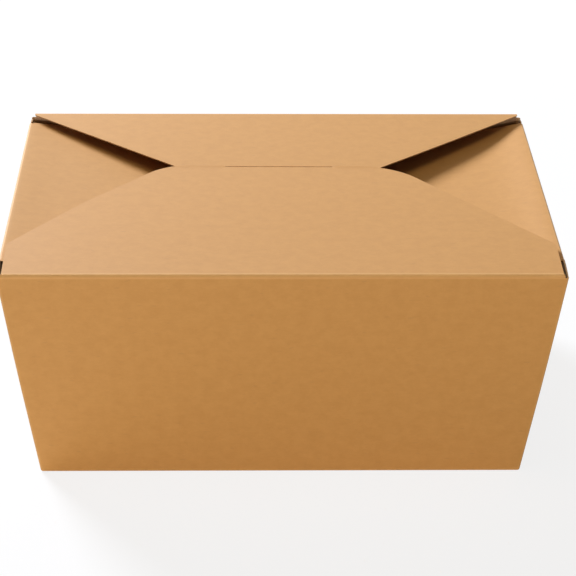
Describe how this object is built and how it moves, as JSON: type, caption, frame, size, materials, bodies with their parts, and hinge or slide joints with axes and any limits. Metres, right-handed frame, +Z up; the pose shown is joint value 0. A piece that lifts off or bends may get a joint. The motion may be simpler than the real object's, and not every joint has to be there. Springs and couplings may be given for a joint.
{
  "type": "takeaway box",
  "caption": "Folded paperboard food box with flared walls and a top of folding flaps, the front one locking into the back one with a tongue.",
  "frame": {"origin": "centre of the underside of the base, on the surface it stands on", "axes": "+Z up, +X along the box's length to the right, -Y to the front, where the closing flap is hinged"},
  "size_m": [0.2234, 0.1648, 0.0968],
  "materials": {
    "board": "uncoated brown kraft board",
    "board_flap": "uncoated brown kraft board"
  },
  "bodies": {
    "carton": {"carton": "board"},
    "front_flap": {"front_flap": "board_flap"}
  },
  "joints": [
    {"name": "front_flap_hinge", "type": "hinge", "parent": "carton", "child": "front_flap", "pos_m": [0, -0.08121, 0.09615], "axis": [1, 0, 0], "range_deg": [0, 200]}
  ]
}
